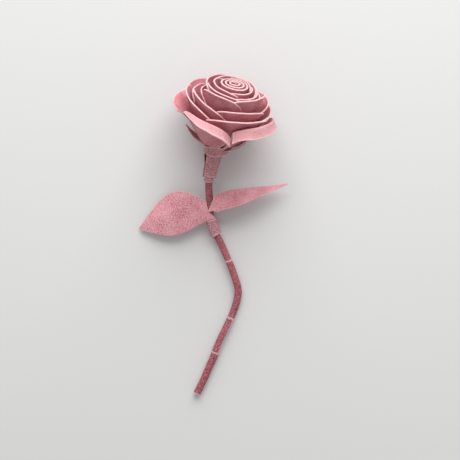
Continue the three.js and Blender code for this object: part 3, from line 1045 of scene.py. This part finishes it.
@dataclass
class Stem:
    """The bent wire's route, and the strips rolled round it.

    Attributes:
        joint: Gap between sleeves.
        wrap_gaps: Air between the sleeves and what is wound round them, in gaps of the sheet.
        collar_cone: How evenly the collar narrows: 1 for a straight cone.
        tail_share: Thickness of the strip under the collar, as a share of the sheet's.
        gape_ends: Share of a strip's length above which its outer end stands off.
        close: How far that end is pressed in further down.
        closing: Shares of the length between which it comes to be pressed in.
        loose_from: Share round a strip from which both hold.
        fibres: Number at the edges of the collar, the tail and the binding.
        tail_threads: Share round the tail and length, of each loose thread.
    """

    sheet: SheetStock
    bloom: Bloom
    wire_in_bud: float = 36.0
    straight_neck: float = 16.0
    bends: Sequence[Triple] = (
        (-14.2, 46, -9), (-14, 32, -12), (-12.6, 18, -14), (-9, 3.5, -15.5), (-2.6, -10.5, -17),
        (3.8, -24.5, -18.2), (8.6, -37, -19.2), (11.1, -48, -20), (9.6, -59.5, -20.6), (5, -72, -21),
    )
    run_out: float = 72.9
    run_towards: Triple = (-0.409, -0.912, -0.02)
    sleeve_top: float = 3.0
    sleeve_bore: float = 1.15
    joint: float = 0.04
    wrap_gaps: float = 1.5
    sleeves: Sequence[Sleeve] = (
        Sleeve("stem_sleeve_neck", 106.0, 1.7, 318.0),
        Sleeve("stem_sleeve_upper", 52.0, 1.95, 235.0),
        Sleeve("stem_sleeve_middle", 33.0, 1.75, 150.0),
        Sleeve("stem_sleeve_foot", math.inf, 1.9, 215.0),
    )
    collar_top: float = 5.0
    collar_length: float = 26.0
    collar_radius: float = 7.0
    collar_turns: float = 1.22
    collar_seam: float = 206.0
    collar_gape: float = 1.5
    collar_slant: float = 2.0
    collar_cone: float = 0.8
    tail_tuck: float = 2.0
    tail_length: float = 9.0
    tail_share: float = 0.5
    tail_seam: float = 120.0
    tail_clear: float = 0.1
    gape_ends: float = 0.6
    close: float = 0.22
    closing: Pair = (0.3, 0.6)
    loose_from: float = 0.8
    binding_down: float = 70.3
    binding_length: float = 15.5
    binding_slant: float = -4.0
    binding_flare: float = 0.4
    binding_turns: float = 0.96
    binding_seam: float = 187.0
    fibres: Tuple[int, int, int] = (90, 70, 40)
    tail_threads: Sequence[Pair] = ((0.92, 5.5),)
    collar_threads: Sequence[Pair] = ((0.56, 2.6), (0.52, 1.8))
    sleeve_columns: int = 48
    sleeve_row: float = 1.6
    collar_grid: Grid = (90, 26)
    binding_grid: Grid = (72, 14)
    samples: int = 1000

    def __post_init__(self) -> None:
        """Traces the route once."""
        heights = (self.wire_in_bud, self.wire_in_bud / 2, 0.0, -self.straight_neck)
        axis = [self.bloom.on_axis(height) for height in heights]
        tail = np.array(self.run_towards) * self.run_out / np.linalg.norm(self.run_towards)
        ends = [np.array(self.bends[-1]) + tail * share for share in (1 / 3, 2 / 3, 1.0)]
        knots = np.array(axis + [np.array(bend, dtype=float) for bend in self.bends] + ends)
        self.route = self._trace(knots)
        self.travelled = travel(self.route)

    def _trace(self, knots: Array) -> Array:
        """Runs a smooth curve through the bends, spaced by the square root of their distances.

        Args:
            knots: The points that it passes.

        Returns:
            Closely spaced points of the curve.
        """
        ends = np.concatenate([[2 * knots[0] - knots[1]], knots, [2 * knots[-1] - knots[-2]]])
        points = []
        for t in np.linspace(0.0, len(knots) - 1.0, self.samples + 1):
            i = min(int(t), len(knots) - 2)
            p0, p1, p2, p3 = ends[i : i + 4]
            d0, d1, d2 = (math.sqrt(np.linalg.norm(b - a)) for a, b in ((p0, p1), (p1, p2), (p2, p3)))
            m1 = ((p1 - p0) / d0 - (p2 - p0) / (d0 + d1) + (p2 - p1) / d1) * d1
            m2 = ((p2 - p1) / d1 - (p3 - p1) / (d1 + d2) + (p3 - p2) / d2) * d1
            s = t - i
            c2, c3 = -3 * p1 + 3 * p2 - 2 * m1 - m2, 2 * p1 - 2 * p2 + m1 + m2
            points.append(p1 + m1 * s + c2 * s**2 + c3 * s**3)
        return np.array(points)

    @property
    def length(self) -> float:
        """Length of stem below the bloom's foot."""
        return self.travelled[-1] - self.wire_in_bud

    @property
    def wrap_radius(self) -> float:
        """Radius of the first sheet laid round the sleeves."""
        sleeve = self.sleeve_bore + self.sheet.thickness + self.sheet.pitch * self.sleeves[0].turns
        return sleeve + self.wrap_gaps * self.sheet.gap + self.sheet.thickness / 2

    def frame_at(self, down: Array) -> Tuple[Array, Array, Array, Array]:
        """Finds the stem's middle and directions at distances below the bloom's foot.

        Args:
            down: The distances.

        Returns:
            Points, and the directions down the stem, to its face and to its right.
        """
        gone = np.clip(self.wire_in_bud + down, 0.0, self.travelled[-1])
        slope = np.gradient(self.route, self.travelled, axis=0)
        middle, run = (
            np.stack([np.interp(gone, self.travelled, rows[:, k]) for k in range(3)], axis=1)
            for rows in (self.route, slope)
        )
        run = unit(run)
        face = unit(np.array([0.0, 0.0, 1.0]) - run * run[:, 2:3])
        return middle, run, face, np.cross(face, run)

    def wrap(self, start: float, end: float, radius: Callable[[Array], Array], turns: float,
             seam: float, gape: float = 0.0, slant: float = 0.0) -> Surface:
        """Shapes a strip that is rolled round the stem.

        Args:
            start: Its distance below the bloom's foot.
            end: Distance of its other end.
            radius: Radius of its inner end, by share of its length.
            turns: Times round.
            seam: Where its inner end lies round the stem.
            gape: How far its outer end stands off near the top.
            slant: How much further down its lower edge lies at the outer end, if it is slanting and ragged.

        Returns:
            Its drawn surface.
        """
        def surface(u: Array, v: Array) -> Array:
            """Gives drawn points for shares round and along the stem."""
            lower = end + slant * u + (self.bloom.tatter(u * turns, seam) if slant else 0.0)
            middle, _, face, side = self.frame_at(mix(start, lower, v))
            open_share = np.minimum(v / self.gape_ends, 1.0)
            standing_off = gape * np.sin(math.pi * np.sqrt(open_share))
            standing_off = standing_off - self.close * ease(v, *self.closing)
            standing_off = standing_off * ease(u, self.loose_from, 1.0)
            growth = self.sheet.pitch * turns * u if turns > 1.0 else 0.0 * u
            reach_out = (radius(v) + growth + standing_off)[:, None]
            angle = (math.radians(seam) + TURN * turns * u)[:, None]
            return middle + reach_out * (np.cos(angle) * face + np.sin(angle) * side)

        return surface

    def build(self) -> None:
        """Makes the stem's strips, and dresses the wire."""
        top = self.sleeve_top
        inner = self.sleeve_bore + self.sheet.thickness / 2
        for sleeve in self.sleeves:
            end = min(top + sleeve.length, self.length)
            close_end = min(end + self.sheet.gap - self.joint, self.length)
            surface = self.wrap(top, close_end, lambda v: inner + 0.0 * v, sleeve.turns, sleeve.seam)
            rows = int((end - top) / self.sleeve_row)
            self.sheet.cut(sleeve.name, surface, (self.sleeve_columns, rows), Finish.STEM)
            top = end + self.sheet.gap
        collar = self.wrap(self.collar_top, self.collar_top + self.collar_length,
                           lambda v: mix(self.collar_radius, self.wrap_radius, v**self.collar_cone),
                           self.collar_turns, self.collar_seam, self.collar_gape, self.collar_slant)
        self.sheet.cut("collar_wrap", collar, self.collar_grid, Finish.CALYX)
        thin = replace(self.sheet, thickness=self.sheet.thickness * self.tail_share)
        tail_top = self.collar_top + self.collar_length - self.tail_tuck
        tail_under = self.tail_clear + (self.sheet.thickness + thin.thickness) / 2
        tail_radius = self.wrap_radius - tail_under
        tail = self.wrap(tail_top, tail_top + self.tail_length, lambda v: tail_radius + 0.0 * v,
                         self.binding_turns, self.tail_seam, 0.0, -self.collar_slant)
        thin.cut("collar_tail", tail, self.binding_grid, Finish.CALYX)
        binding = self.wrap(self.binding_down, self.binding_down + self.binding_length,
                            lambda v: self.wrap_radius + self.binding_flare * (1.0 - v),
                            self.binding_turns, self.binding_seam, 0.0, self.binding_slant)
        self.sheet.cut("leaf_binding", binding, self.binding_grid, Finish.CALYX)
        edges = list(zip((collar, tail, binding), self.fibres))
        threads = [(tail, *thread) for thread in self.tail_threads]
        threads += [(collar, *thread) for thread in self.collar_threads]
        Fray(self.sheet).comb("stem_fray", edges, Finish.CALYX, threads)
        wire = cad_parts["stem_wire"]
        wire.data.materials.clear()
        wire.data.materials.append(WireFinish("drawn_wire", "a7aaae", "74777b").build())


class Side(Enum):
    """The side of the stem that a leaf goes to."""

    LEFT = -1
    RIGHT = 1


@dataclass
class Leaf:
    """A leaf: a strip glued round the stem that widens into a blade.

    Attributes:
        name: Its node.
        side: Where it points.
        down: Its distance below the bloom's foot.
        layer: How many sheets lie between it and the stem.
        wrap: Angle round the stem that its glued end takes up.
        slant: Length that a slanting cut takes off that end.
        length: Of the blade.
        neck: Distance at which the strip starts to widen.
        foot_half: Half the strip's width.
        half: Half the blade's width.
        belly: Where the blade is widest: 1 for halfway, less for nearer the stem.
        lift: How far the blade bows up the stem.
        rise: How far the tip rises.
        droop: How far the tip droops.
        twist: How far the blade is turned on edge near the stem and at the tip.
        camber: How far its edges curl back.
        tip_half: Half the width of the blunt cut tip.
        slant_bend: How hollow the slanting cut is: 1 for straight.
        crowding: How much closer its rows lie near the stem: 1 for evenly.
        twist_in: How soon the twist sets in.
        bow_bend: Where it bows most: 1 for halfway, less for nearer the stem.
    """

    name: str
    side: Side
    down: float
    layer: int
    wrap: float
    slant: float
    length: float
    neck: float
    foot_half: float
    half: float
    belly: float
    lift: float
    rise: float
    droop: float
    twist: Pair
    camber: float
    tip_half: float = 0.6
    slant_bend: float = 1.0
    crowding: float = 1.6
    twist_in: float = 6.0
    bow_bend: float = 0.8

    def surface(self, stem: Stem) -> Surface:
        """Shapes the leaf.

        Args:
            stem: The stem that it is glued to.

        Returns:
            Its drawn surface.
        """
        middle, run, face, right = (rows[0] for rows in stem.frame_at(np.array([self.down])))
        radius = stem.wrap_radius + self.layer * (stem.sheet.pitch + stem.sheet.gap)
        sign = self.side.value

        def drawn(u: Array, v: Array) -> Array:
            """Gives drawn points for shares across and along the leaf."""
            start = self.slant * (1.0 - (1.0 - u) ** self.slant_bend) - math.radians(self.wrap) * radius
            distance = mix(start, self.length, v**self.crowding)
            blade = np.maximum(distance, 0.0)
            share = blade / self.length
            angle = sign * np.minimum(distance, 0.0) / radius
            twist = np.radians(mix(*self.twist, np.sqrt(share)) * np.minimum(1.0, self.twist_in * share))
            spread = np.maximum(0.0, blade - self.neck) / (self.length - self.neck)
            belly = (self.half - self.foot_half / 2) * np.sin(math.pi * spread**self.belly)
            half = self.foot_half * (1.0 - share) + belly + self.tip_half * share
            across = (2.0 * u - 1.0) * half
            cup = self.camber * np.sin(math.pi * share) * (2.0 * u - 1.0) ** 2
            bow = self.lift * np.sin(math.pi * share**self.bow_bend) + self.rise * share
            out = radius * np.cos(angle) - self.droop * share**2
            out = out - across * np.sin(twist) - cup * np.cos(twist)
            sideways = radius * np.sin(angle) + sign * blade
            along = bow + across * np.cos(twist)
            return middle + out[:, None] * face + sideways[:, None] * right - along[:, None] * run

        return drawn


@dataclass
class Foliage:
    """The two leaves."""

    sheet: SheetStock
    stem: Stem
    leaves: Sequence[Leaf] = (
        Leaf("leaf_left", Side.LEFT, 62.8, 0, 90, 8.8, 63.5, 0, 7, 17.7, 1, 6, -7, 9, (4, 14), 2.5,
             slant_bend=3.0),
        Leaf("leaf_right", Side.RIGHT, 56.3, 1, 20, 6.5, 69.5, 3, 6.2, 11, 0.75, 0, 12.5, 2, (25, 80), 1.5),
    )
    grid: Grid = (40, 90)

    def build(self) -> None:
        """Makes the leaves."""
        for leaf in self.leaves:
            self.sheet.cut(leaf.name, leaf.surface(self.stem), self.grid, Finish.LEAF)


@dataclass
class Studio:
    """Plain floor, soft light and the camera that looks down on the rose."""

    picture_width: float = 395.6
    picture_middle: Pair = (4.3, 4.3)
    camera_distance: float = 1500.0
    sensor: float = 36.0
    key_place: Triple = (0.1, 1.2, 0.75)
    key_size: float = 1.6
    key_power: float = 30.0
    fill_strength: float = 0.5
    floor_size: float = 6.0
    floor_tone: str = "dbdbda"

    def set_up(self) -> None:
        """Makes the floor, the lights and the camera."""
        bpy.ops.object.select_all(action="DESELECT")
        bpy.ops.mesh.primitive_plane_add(size=self.floor_size)
        floor = bpy.context.object
        floor.name = "floor"
        floor.data.materials.append(FloorFinish("pale_floor", self.floor_tone).build())
        self._light()
        self._camera()
        bpy.context.scene.view_settings.view_transform = "Standard"

    def _light(self) -> None:
        """Hangs a soft lamp over the bloom's end, and fills with an even sky."""
        bpy.ops.object.light_add(type="AREA", location=self.key_place)
        lamp = bpy.context.object
        lamp.name = "key_lamp"
        lamp.data.size = self.key_size
        lamp.data.energy = self.key_power
        lamp.rotation_euler = (-Vector(self.key_place)).to_track_quat("-Z", "Y").to_euler()
        world = bpy.data.worlds.new("even_sky")
        bpy.context.scene.world = world
        world.use_nodes = True
        sky = world.node_tree.nodes["Background"]
        sky.inputs["Color"].default_value = (1.0, 1.0, 1.0, 1.0)
        sky.inputs["Strength"].default_value = self.fill_strength

    def _camera(self) -> None:
        """Sets the camera square to the drawn rose's face."""
        data = bpy.data.cameras.new("camera")
        camera = bpy.data.objects.new("camera", data)
        bpy.context.scene.collection.objects.link(camera)
        data.sensor_width = self.sensor
        data.lens = self.sensor * self.camera_distance / self.picture_width
        eye = POSE.matrix() @ Vector((*self.picture_middle, self.camera_distance))
        camera.matrix_world = Matrix.Translation(eye) @ POSE.matrix().to_quaternion().to_matrix().to_4x4()
        bpy.context.scene.camera = camera


def main() -> None:
    """Builds the rose and its surroundings."""
    logging.basicConfig(level=logging.INFO, format="%(name)s: %(message)s")
    sheet = SheetStock()
    bloom = Bloom(sheet)
    stem = Stem(sheet, bloom)
    foliage = Foliage(sheet, stem)
    bloom.build()
    stem.build()
    foliage.build()
    Studio().set_up()


if __name__ == "__main__":
    main()
